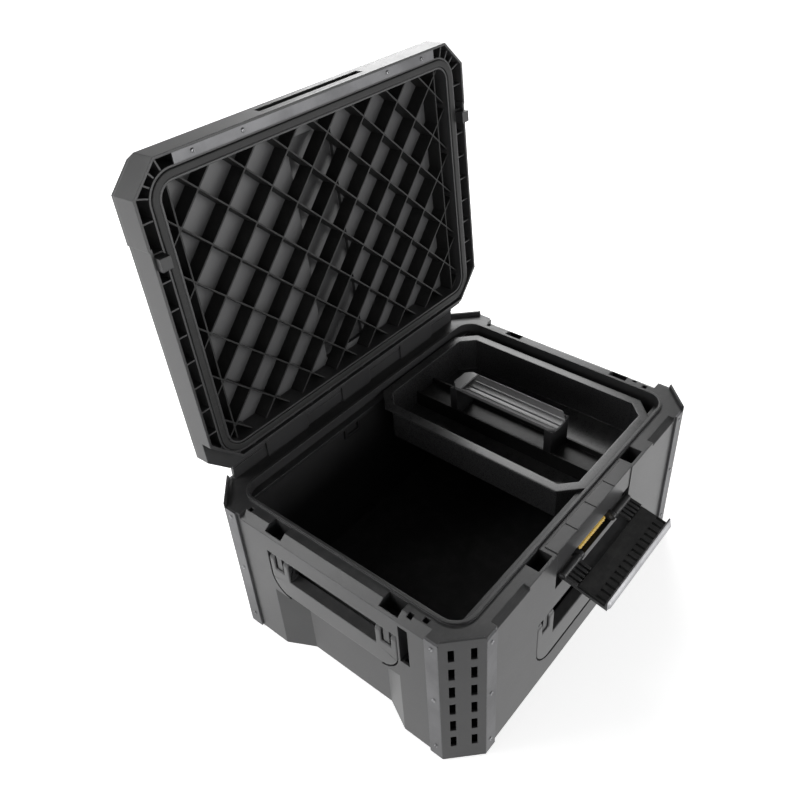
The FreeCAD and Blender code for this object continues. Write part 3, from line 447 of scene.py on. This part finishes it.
@dataclass(frozen=True)
class Metal:
    """Plated steel of screws and pins, or anodised strip."""

    name: FinishName
    base: Colour
    rough: float
    grain: float = 2600.0
    edge: float = 0.0006
    scuff_scale: float = 180.0
    scuff: float = 0.6
    wear: float = 0.3
    dull: float = 0.7
    bright: float = 1.25
    rough_sway: float = 0.25
    rough_drop: float = 0.1
    depth: float = 0.00001

    def build(self, effects: Effects) -> bpy.types.Material:
        """Makes the material.

        Args:
            effects: The shared groups.

        Returns:
            The finished material.
        """
        material = bpy.data.materials.new(self.name.value)
        material.use_nodes = True
        graph = Graph(material.node_tree)
        shader = material.node_tree.nodes["Principled BSDF"]
        shader.inputs["Metallic"].default_value = 1.0
        grain = effects.place(graph, Effect.GRAIN, Scale=self.grain)
        scuff = effects.place(graph, Effect.SCUFF, Scale=self.scuff_scale, Amount=self.scuff)
        wear = effects.place(graph, Effect.WEAR, Width=self.edge, Amount=self.wear)
        dull = tuple(self.dull * part for part in self.base)
        colour = graph.blend(grain.outputs["Mottle"], self.base, dull)
        colour = graph.blend(scuff.outputs["Mask"], colour, dull)
        bright = tuple(min(1.0, self.bright * part) for part in self.base)
        graph.join(graph.blend(wear.outputs["Mask"], colour, bright), shader.inputs["Base Color"])
        rough = graph.math("MULTIPLY_ADD", grain.outputs["Height"], self.rough_sway)
        rough.node.inputs[2].default_value = self.rough - self.rough_drop
        graph.join(rough, shader.inputs["Roughness"])
        bump = graph.add("ShaderNodeBump", Strength=1.0, Distance=self.depth)
        graph.join(grain.outputs["Height"], bump.inputs["Height"])
        graph.join(wear.outputs["Normal"], bump.inputs["Normal"])
        graph.join(bump.outputs["Normal"], shader.inputs["Normal"])
        return material


FINISHES: tuple[Plastic | Metal, ...] = (
    Plastic(FinishName.SHELL, (0.034, 0.034, 0.035), (0.042, 0.042, 0.043), 0.36),
    # The lid's skin tone is painted light that brightens the cell floors of the open lid.
    Plastic(FinishName.LID, (0.040, 0.040, 0.041), (0.048, 0.048, 0.049), 0.38,
            skin=(0.105, 0.105, 0.107)),
    Plastic(FinishName.LATTICE, (0.012, 0.012, 0.012), (0.017, 0.017, 0.017), 0.50,
            wear=0.15, level=0.35),
    Plastic(FinishName.GUARD, (0.018, 0.018, 0.019), (0.023, 0.023, 0.024), 0.44,
            grain=800.0, depth=0.00003),
    # The handle base is lighter than the shell: painted highlight for the lit, rounded handle bars.
    Plastic(FinishName.HANDLE, (0.055, 0.055, 0.056), (0.066, 0.066, 0.067), 0.32, wear=0.6),
    Plastic(FinishName.TRAY, (0.030, 0.030, 0.031), (0.036, 0.036, 0.037), 0.28, depth=0.000006),
    Plastic(FinishName.TRIM, (0.020, 0.020, 0.021), (0.026, 0.026, 0.027), 0.40),
    Plastic(FinishName.GRIP, (0.13, 0.13, 0.132), (0.16, 0.16, 0.162), 0.30, grain=900.0, wear=0.6,
            worn=(0.3, 0.3, 0.3)),
    Plastic(FinishName.RUBBER, (0.014, 0.014, 0.014), (0.019, 0.019, 0.019), 0.55,
            grain=700.0, wear=0.1, level=0.35),
    # Near-black matt sheet behind the guard slots: painted shade, not a real lining.
    Plastic(FinishName.PAINTED_SHADE, (0.003, 0.003, 0.003), (0.005, 0.005, 0.005), 0.85,
            grain=500.0, wear=0.0, dust=0.0, scuff=0.0, level=0.05),
    Plastic(FinishName.CATCH, (0.76, 0.48, 0.06), (0.82, 0.55, 0.10), 0.35, depth=0.000005, wear=0.2,
            worn=(0.86, 0.66, 0.3), dust=0.05),
    Metal(FinishName.STRIP, (0.17, 0.17, 0.175), 0.46, grain=1600.0, edge=0.001),
    Metal(FinishName.STEEL, (0.34, 0.34, 0.35), 0.38),
)


class Workshop:
    """Holds the finishes, and puts pieces and modifiers where they belong."""

    WELD_REACH = 0.00001
    NORMAL_WEIGHT = 50

    def __init__(self) -> None:
        """Builds the shared groups and every finish."""
        effects = Effects()
        self.materials = {finish.name: finish.build(effects) for finish in FINISHES}
        self.smooth = self._smooth_tree()

    def _smooth_tree(self) -> bpy.types.NodeTree:
        """Builds the geometry group that shades faces smooth.

        Returns:
            The group's tree.
        """
        tree = bpy.data.node_groups.new("smooth_faces", "GeometryNodeTree")
        for way in ("INPUT", "OUTPUT"):
            tree.interface.new_socket(name="Geometry", in_out=way, socket_type="NodeSocketGeometry")
        start = tree.nodes.new("NodeGroupInput")
        shade = tree.nodes.new("GeometryNodeSetShadeSmooth")
        end = tree.nodes.new("NodeGroupOutput")
        tree.links.new(start.outputs[0], shade.inputs["Geometry"])
        tree.links.new(shade.outputs["Geometry"], end.inputs[0])
        return tree

    def ease(self, piece: bpy.types.Object, width: float, steps: int = 3, limit: float = 34.0) -> None:
        """Rounds a piece's sharp edges with modifiers.

        Args:
            piece: The mesh object.
            width: How far the rounding reaches, in metres.
            steps: Facets across the rounding.
            limit: Least angle of an edge that is rounded, in degrees.
        """
        weld = piece.modifiers.new("joined_faces", "WELD")
        weld.merge_threshold = self.WELD_REACH
        bevel = piece.modifiers.new("eased_edges", "BEVEL")
        bevel.width = width
        bevel.segments = steps
        bevel.limit_method = "ANGLE"
        bevel.angle_limit = math.radians(limit)
        bevel.use_clamp_overlap = False
        smooth = piece.modifiers.new("smooth_faces", "NODES")
        smooth.node_group = self.smooth
        even = piece.modifiers.new("even_normals", "WEIGHTED_NORMAL")
        even.keep_sharp = False
        even.weight = self.NORMAL_WEIGHT

    def dress(self, node: str, finish: FinishName, width: float = 0.0) -> None:
        """Gives a CAD node its finish, and rounded edges where a width is given.

        Args:
            node: The node's name.
            finish: Which finish it wears.
            width: How far its edges are rounded, in metres, or 0 to leave the mesh as it is.
        """
        piece = frame["nodes"][node]
        for holder in piece.material_slots:
            holder.material = self.materials[finish]
        if width > 0:
            self.ease(piece, width)
        LOG.info("dressed %s in %s", node, finish.value)

    def piece(self, name: str, mesh: bmesh.types.BMesh, body: str, finish: FinishName, slot: str,
              stands_for: Iterable[str] = ()) -> None:
        """Turns a built mesh into a piece that rides on a body.

        Args:
            name: The piece's name.
            mesh: Its mesh in the shared frame, freed here.
            body: The body that it rides on.
            finish: The finish that it wears.
            slot: The record's material slot; not used.
            stands_for: CAD nodes that it replaces.
        """
        data = bpy.data.meshes.new(name)
        bmesh.ops.recalc_face_normals(mesh, faces=mesh.faces)
        mesh.to_mesh(data)
        mesh.free()
        data.materials.append(self.materials[finish])
        thing = bpy.data.objects.new(name, data)
        bpy.context.scene.collection.objects.link(thing)
        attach(thing, body)
        if stands_for:
            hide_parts(*stands_for)
        LOG.info("built %s on %s", name, body)


def loft(mesh: bmesh.types.BMesh, rings: Sequence[Sequence[Vector]]) -> None:
    """Joins closed rings of equal length by faces and closes both ends.

    Args:
        mesh: The mesh that the faces go into.
        rings: The rings in order, each with its points in the same turn.
    """
    made = [[mesh.verts.new(point) for point in ring] for ring in rings]
    count = len(made[0])
    for low, high in zip(made, made[1:]):
        for i in range(count):
            mesh.faces.new((low[i], low[(i + 1) % count], high[(i + 1) % count], high[i]))
    mesh.faces.new(list(reversed(made[0])))
    mesh.faces.new(made[-1])


def islands(node: str) -> list[tuple[Vector, Vector]]:
    """Finds the separate solids of a CAD node.

    Args:
        node: The node's name.

    Returns:
        The lowest and highest corner of each solid.
    """
    mesh = frame["nodes"][node].data
    owner: dict[tuple[float, ...], tuple[float, ...]] = {}

    def root(key: tuple[float, ...]) -> tuple[float, ...]:
        """Follows the links to the first point of a solid.

        Args:
            key: A point of the solid.

        Returns:
            The solid's first point.
        """
        while owner[key] != key:
            key = owner[key]
        return key

    keys = [tuple(round(part, SAME_POINT_DIGITS) for part in vertex.co) for vertex in mesh.vertices]
    for key in keys:
        owner.setdefault(key, key)
    for edge in mesh.edges:
        first, second = (root(keys[i]) for i in edge.vertices)
        owner[second] = first
    groups: dict[tuple[float, ...], list[tuple[float, ...]]] = {}
    for key in owner:
        groups.setdefault(root(key), []).append(key)
    return [(Vector(map(min, zip(*group))), Vector(map(max, zip(*group))))
            for group in groups.values()]


@dataclass(frozen=True)
class ScrewHead:
    """Domed screw head with a six-lobed socket."""

    radius: float = 2.6 * MM
    height: float = 1.5 * MM
    sink: float = 0.3 * MM
    socket: float = 0.46
    lobe: float = 0.14
    sides: int = 36

    def add(self, mesh: bmesh.types.BMesh, seat: Vector, way: Vector) -> None:
        """Adds one head.

        Args:
            mesh: The mesh that it goes into.
            seat: Middle of the head's underside.
            way: Direction that the head faces.
        """
        across = way.orthogonal().normalized()
        upward = way.cross(across)
        profile = ((1.0, -self.sink / self.height, 0.0), (1.0, 0.25, 0.0), (0.93, 0.55, 0.0),
                   (0.76, 0.86, 0.0), (0.58, 1.0, 0.0), (self.socket, 1.0, self.lobe),
                   (self.socket * 0.94, 0.35, self.lobe), (self.socket * 0.5, 0.3, 0.0))
        rings = []
        for part, rise, lobe in profile:
            ring = []
            for i in range(self.sides):
                turn = math.tau * i / self.sides
                reach = self.radius * part * (1.0 + lobe * math.cos(6 * turn))
                ring.append(seat + reach * (math.cos(turn) * across + math.sin(turn) * upward)
                            + self.height * rise * way)
            rings.append(ring)
        loft(mesh, rings)


class Assembly(ABC):
    """A sub-assembly of the tool box."""

    @abstractmethod
    def dress(self, shop: Workshop) -> None:
        """Puts the finishes on and makes the fittings.

        Args:
            shop: Where finishes and modifiers come from.
        """


@dataclass
class TubAssembly(Assembly):
    """The tub, its guards, rails and pins."""

    corners: tuple[str, ...] = ("front_left", "front_right", "rear_left", "rear_right")
    head: ScrewHead = field(default_factory=ScrewHead)
    head_under: float = 1.2 * MM
    # The tub's side, front and rear faces and its cut corners, as in the part's source.
    faces: tuple[float, float, float] = (271.0 * MM, -201.0 * MM, 206.0 * MM)
    corner_cut: float = 35.24 * MM
    # Size, place and ribbing of the near-black sheets of painted shade behind the guard slots.
    shade_sheet_deep: float = 8.9 * MM
    shade_sheet_half: float = 21.5 * MM
    shade_sheet_thick: float = 0.8 * MM
    shade_sheet_z: tuple[float, float] = (4.0 * MM, 212.0 * MM)
    shade_sheet_waves: int = 24
    shade_sheet_steps: int = 4
    shade_sheet_swell: float = 0.25

    def build_shade_sheets(self, shop: Workshop) -> None:
        """Makes the ribbed near-black sheets behind the slots of the four guards, as painted shade that makes
        the slots read black.

        Args:
            shop: Where the piece is made.
        """
        side, front_face, rear_face = self.faces
        mesh = bmesh.new()
        low, high = self.shade_sheet_z
        for sx in (-1, 1):
            for y_face, sy in ((front_face, -1), (rear_face, 1)):
                way = Vector((sx, sy, 0.0)).normalized()
                along = Vector((-way.y, way.x, 0.0))
                half_cut = self.corner_cut / 2
                middle = Vector((sx * (side - half_cut), y_face - sy * half_cut, 0.0))
                back = middle - way * self.shade_sheet_deep
                rings = []
                steps = self.shade_sheet_steps * self.shade_sheet_waves
                for i in range(steps + 1):
                    part = i / steps
                    swell = self.shade_sheet_swell * math.cos(math.tau * self.shade_sheet_waves * part)
                    wave = self.shade_sheet_thick * (1.0 - self.shade_sheet_swell + swell)
                    foot = back + Vector((0.0, 0.0, low + part * (high - low)))
                    reach = along * self.shade_sheet_half
                    front = way * wave
                    rings.append([foot - reach, foot + reach, foot + reach + front, foot - reach + front])
                loft(mesh, rings)
        shop.piece("guard_shade_sheets", mesh, "tub", FinishName.PAINTED_SHADE, "rubber")

    def build_screws(self, shop: Workshop) -> None:
        """Makes the heads of the guards' screws.

        Args:
            shop: Where the piece is made.
        """
        mesh = bmesh.new()
        for low, high in islands("guard_screws"):
            span = high - low
            axis = 0 if span.x > span.y else 1
            middle = (low + high) / 2
            way = Vector((0.0, 0.0, 0.0))
            way[axis] = math.copysign(1.0, middle[axis])
            seat = middle + way * (span[axis] / 2 - self.head_under)
            self.head.add(mesh, seat, way)
        shop.piece("guard_screw_heads", mesh, "tub", FinishName.STEEL, "steel", ("guard_screws",))

    def dress(self, shop: Workshop) -> None:
        """Puts the finishes on.

        Args:
            shop: Where finishes and modifiers come from.
        """
        shop.dress("tub_shell", FinishName.SHELL)
        for corner in self.corners:
            shop.dress("corner_guard_" + corner, FinishName.GUARD)
        shop.dress("guard_strips", FinishName.STRIP)
        for rail in ("tray_rail_front", "tray_rail_rear", "rail_bracket"):
            shop.dress(rail, FinishName.TRIM)
        self.build_screws(shop)
        self.build_shade_sheets(shop)
        shop.dress("hinge_pin", FinishName.STEEL)


@dataclass
class HandleAssembly(Assembly):
    """The two side handles and the front handle on their pins."""

    edge: float = 1.8 * MM
    sides: tuple[str, ...] = ("left", "right", "front")

    def dress(self, shop: Workshop) -> None:
        """Puts the finishes on.

        Args:
            shop: Where finishes and modifiers come from.
        """
        for side in self.sides:
            shop.dress(side + "_handle", FinishName.HANDLE, self.edge)
            shop.dress(side + "_handle_pins", FinishName.STEEL)


@dataclass
class LidAssembly(Assembly):
    """The lid with its lattice, seal, strip, strike, tabs and cleats."""

    edge: float = 1.5 * MM
    head: ScrewHead = field(default_factory=ScrewHead)
    head_under: float = 0.8 * MM

    def build_screws(self, shop: Workshop) -> None:
        """Makes the heads of the front strip's screws, which face out of the open lid.

        Args:
            shop: Where the piece is made.
        """
        way = LidSwing().turned(Vector((0.0, 0.0, -1.0)))
        mesh = bmesh.new()
        for low, high in islands("lid_strip_screws"):
            middle = (low + high) / 2
            reach = (high.y - low.y) / 2 - self.head.radius * abs(way.z)
            self.head.add(mesh, middle + way * (reach - self.head_under), way)
        shop.piece("strip_screw_heads", mesh, "lid", FinishName.STEEL, "steel", ("lid_strip_screws",))

    def dress(self, shop: Workshop) -> None:
        """Puts the finishes on.

        Args:
            shop: Where finishes and modifiers come from.
        """
        shop.dress("lid_shell", FinishName.LID)
        shop.dress("lid_lattice", FinishName.LATTICE)
        shop.dress("lid_seal", FinishName.RUBBER, self.edge)
        shop.dress("lid_front_strip", FinishName.STRIP)
        self.build_screws(shop)
        shop.dress("lid_strike", FinishName.TRIM)
        shop.dress("lid_side_tabs", FinishName.TRIM)
        shop.dress("lid_cleats", FinishName.LID, self.edge)


@dataclass
class LatchAssembly(Assembly):
    """The flap latch on its mount."""

    ribs: int = 13
    rib_fall: float = 0.9 * MM
    steps_per_rib: int = 6
    round_steps: int = 8
    end_fall: float = 1.5 * MM
    end_steps: int = 3
    flat_share: float = 0.35
    lip_bulge: float = 4.0 * MM
    lip_power: float = 0.7
    lip_least: float = 0.05
    lip_steps: int = 10
    lip_stations: int = 40
    lip_end: float = 1.2 * MM
    # The flap's outer face, hook tip and top when shut, as in the part's source.
    flap_faces: tuple[float, float] = (-208.0 * MM, -194.0 * MM)
    flap_top: float = 242.0 * MM
    hook_slope: float = 3.2 * MM
    lip_sink: float = 0.4 * MM

    def build_lip(self, shop: Workshop) -> None:
        """Makes the rounded satin lip along the end of the flap.

        Args:
            shop: Where the piece is made.
        """
        joint = joint_row("latch_hinge")
        pivot = Vector(joint["pos_m"])
        swing = Matrix.Rotation(math.radians(joint["range_deg"][1]), 3, "X")
        low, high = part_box("latch_flap")
        outer, inner = self.flap_faces
        rings = []
        for i in range(self.lip_stations + 1):
            x = low[0] + (high[0] - low[0]) * i / self.lip_stations
            end = min(x - low[0], high[0] - x)
            full = math.sqrt(max(self.lip_least, min(1.0, end / self.lip_end)))
            ring = []
            for k in range(self.lip_steps + 1):
                part = k / self.lip_steps
                rise = self.lip_bulge * full * math.sin(math.pi * part) ** self.lip_power
                fall = self.hook_slope * part + self.lip_sink
                point = Vector((x, outer + (inner - outer) * part, self.flap_top - fall + rise))
                ring.append(pivot + swing @ (point - pivot))
            rings.append(ring)
        mesh = bmesh.new()
        loft(mesh, rings)
        shop.piece("flap_lip", mesh, "latch", FinishName.STEEL, "steel")

    def build_catch(self, shop: Workshop) -> None:
        """Makes the rounded, ribbed amber catch in the space of its solid.

        Args:
            shop: Where the piece is made.
        """
        low, high = (Vector(corner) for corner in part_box("latch_catch"))
        depth = high.y - low.y
        half = (high.z - low.z) / 2
        middle = (high.z + low.z) / 2
        steps = self.ribs * self.steps_per_rib
        rings = []
        for i in range(steps + 1):
            part = i / steps
            fall = self.rib_fall * (0.5 - 0.5 * math.cos(math.tau * self.ribs * part))
            end = min(part, 1.0 - part) * steps
            fall += self.end_fall * max(0.0, 1.0 - end / self.end_steps) ** 2
            reach = half - fall
            x = low.x + part * (high.x - low.x)
            ring = [Vector((x, high.y, middle - reach)), Vector((x, high.y, middle + reach))]
            for k in range(self.round_steps + 1):
                turn = math.pi * (0.5 - k / self.round_steps)
                crown = self.flat_share + (1.0 - self.flat_share) * math.cos(turn)
                front = high.y - (depth - fall) * crown
                ring.append(Vector((x, front, middle + reach * math.sin(turn))))
            rings.append(ring)
        mesh = bmesh.new()
        loft(mesh, rings)
        shop.piece("ribbed_catch", mesh, "tub", FinishName.CATCH, "catch", ("latch_catch",))

    def dress(self, shop: Workshop) -> None:
        """Puts the finishes on.

        Args:
            shop: Where finishes and modifiers come from.
        """
        shop.dress("latch_mount", FinishName.SHELL)
        shop.dress("latch_flap", FinishName.SHELL)
        shop.dress("latch_pad", FinishName.RUBBER)
        self.build_catch(shop)
        self.build_lip(shop)
        shop.dress("latch_pin", FinishName.STEEL)


@dataclass
class TrayAssembly(Assembly):
    """The sliding tray with its divider and grip."""

    edge: float = 1.2 * MM

    def dress(self, shop: Workshop) -> None:
        """Puts the finishes on.

        Args:
            shop: Where finishes and modifiers come from.
        """
        shop.dress("tray_shell", FinishName.TRAY, self.edge)
        shop.dress("tray_divider", FinishName.LATTICE)
        shop.dress("tray_handle", FinishName.TRIM)
        shop.dress("tray_grip", FinishName.GRIP)


@dataclass(frozen=True)
class SoftBox:
    """One soft studio lamp."""

    name: str
    place: tuple[float, float, float]
    aim: tuple[float, float, float]
    size: tuple[float, float]
    radiance: float

    def build(self) -> None:
        """Makes the lamp, its power set from the brightness of its face."""
        lamp = bpy.data.lights.new(self.name, "AREA")
        lamp.shape = "RECTANGLE"
        lamp.size, lamp.size_y = self.size
        lamp.energy = self.radiance * math.pi * self.size[0] * self.size[1]
        thing = bpy.data.objects.new(self.name, lamp)
        thing.location = self.place
        way = Vector(self.aim) - Vector(self.place)
        thing.rotation_euler = way.to_track_quat("-Z", "Y").to_euler()
        bpy.context.scene.collection.objects.link(thing)


@dataclass
class Studio:
    """Floor, light and camera."""

    floor_half: float = 12.0
    floor_drop: float = 0.0004
    floor_tone: float = 0.86
    lift_near: float = 0.72
    lift_far: float = 1.0
    lift_reach: tuple[float, float] = (0.5, 1.3)
    overhead: float = 0.10
    horizon: tuple[float, float] = (0.16, 0.34)
    lamps: tuple[SoftBox, ...] = (
        SoftBox("back_right_box", (1.25, 0.95, 1.35), (0.1, 0.0, 0.2), (1.1, 1.1), 6.0),
        SoftBox("front_box", (0.3, -2.0, 0.45), (0.0, 0.0, 0.35), (2.0, 0.7), 4.0),
        SoftBox("rear_left_box", (-1.25, 1.1, 1.55), (-0.1, 0.0, 0.2), (0.9, 0.9), 6.0),
        SoftBox("left_box", (-2.0, 0.3, 0.7), (0.0, 0.0, 0.3), (1.4, 0.9), 1.5),
    )
    azimuth: float = -50.45
    elevation: float = 36.87
    roll: float = -2.20
    lens: float = 37.33
    sensor: float = 36.0
    clip: tuple[float, float] = (0.05, 60.0)
    distance: float = 1.1265
    target: tuple[float, float, float] = (0.0236, 0.0683, 0.2928)
    shift: tuple[float, float] = (-0.0436, -0.0297)

    def _seen(self, graph: Graph) -> bpy.types.NodeSocket:
        """Adds a mask that is 1 for rays from the camera, from gloss and through glass.

        Args:
            graph: The floor material's graph.

        Returns:
            The mask.
        """
        path = graph.add("ShaderNodeLightPath")
        seen = graph.math("MAXIMUM", path.outputs["Is Camera Ray"], path.outputs["Is Glossy Ray"])
        return graph.math("MAXIMUM", seen, path.outputs["Is Transmission Ray"])

    def build_floor(self) -> None:
        """Makes the pale floor, which is lifted to white but keeps the shadow."""
        mesh = bmesh.new()
        half = self.floor_half
        corners = ((-half, -half), (half, -half), (half, half), (-half, half))
        mesh.faces.new([mesh.verts.new((x, y, -self.floor_drop)) for x, y in corners])
        data = bpy.data.meshes.new("studio_floor")
        mesh.to_mesh(data)
        mesh.free()
        material = bpy.data.materials.new("studio_floor")
        material.use_nodes = True
        graph = Graph(material.node_tree)
        material.node_tree.nodes.remove(material.node_tree.nodes["Principled BSDF"])
        out = material.node_tree.nodes["Material Output"]
        tone = (self.floor_tone, self.floor_tone, self.floor_tone, 1.0)
        matt = graph.add("ShaderNodeBsdfDiffuse", Color=tone)
        lift = graph.add("ShaderNodeEmission", Color=(1.0, 1.0, 1.0, 1.0))
        spot = graph.add("ShaderNodeNewGeometry")
        reach = graph.add("ShaderNodeVectorMath", operation="LENGTH")
        graph.join(spot.outputs["Position"], reach.inputs[0])
        rise = graph.ramp(reach.outputs["Value"], *self.lift_reach)
        rise.node.inputs["To Min"].default_value = self.lift_near
        rise.node.inputs["To Max"].default_value = self.lift_far
        graph.join(graph.math("MULTIPLY", self._seen(graph), rise), lift.inputs["Strength"])
        both = graph.add("ShaderNodeAddShader")
        graph.join(matt.outputs[0], both.inputs[0])
        graph.join(lift.outputs[0], both.inputs[1])
        graph.join(both.outputs[0], out.inputs["Surface"])
        data.materials.append(material)
        floor = bpy.data.objects.new("studio_floor", data)
        bpy.context.scene.collection.objects.link(floor)

    def build_world(self) -> None:
        """Makes the light from all round, white at the horizon and dim overhead."""
        world = bpy.data.worlds.new("studio_world")
        world.use_nodes = True
        bpy.context.scene.world = world
        graph = Graph(world.node_tree)
        sky = world.node_tree.nodes["Background"]
        sky.inputs["Color"].default_value = (1.0, 1.0, 1.0, 1.0)
        way = graph.add("ShaderNodeTexCoord")
        split = graph.add("ShaderNodeSeparateXYZ")
        graph.join(way.outputs["Generated"], split.inputs[0])
        fade = graph.ramp(split.outputs["Z"], *self.horizon)
        fade.node.inputs["To Min"].default_value = 1.0
        fade.node.inputs["To Max"].default_value = self.overhead
        graph.join(fade, sky.inputs["Strength"])

    def build_camera(self) -> None:
        """Makes the camera at the photo's angle."""
        az, el, roll = (math.radians(angle) for angle in (self.azimuth, self.elevation, self.roll))
        back = Vector((math.sin(az) * math.cos(el), -math.cos(az) * math.cos(el), math.sin(el)))
        right = Vector((math.cos(az), math.sin(az), 0.0))
        up = back.cross(right)
        across = math.cos(roll) * right + math.sin(roll) * up
        upward = math.cos(roll) * up - math.sin(roll) * right
        data = bpy.data.cameras.new("photo_camera")
        data.sensor_width = self.sensor
        data.lens = self.lens
        data.shift_x, data.shift_y = self.shift
        data.clip_start, data.clip_end = self.clip
        camera = bpy.data.objects.new("photo_camera", data)
        turn = Matrix((across, upward, back)).transposed()
        stand = Vector(self.target) + back * self.distance
        camera.matrix_world = Matrix.Translation(stand) @ turn.to_4x4()
        bpy.context.scene.collection.objects.link(camera)
        bpy.context.scene.camera = camera

    def build(self) -> None:
        """Makes the whole studio."""
        bpy.context.scene.view_settings.view_transform = "Standard"
        self.build_floor()
        self.build_world()
        for lamp in self.lamps:
            lamp.build()
        self.build_camera()


def main() -> None:
    """Builds the pieces in order, then the studio."""
    logging.basicConfig(level=logging.INFO, format="%(name)s: %(message)s")
    shop = Workshop()
    for assembly in (TubAssembly(), HandleAssembly(), LidAssembly(), LatchAssembly(), TrayAssembly()):
        assembly.dress(shop)
    Studio().build()


if __name__ == "__main__":
    main()
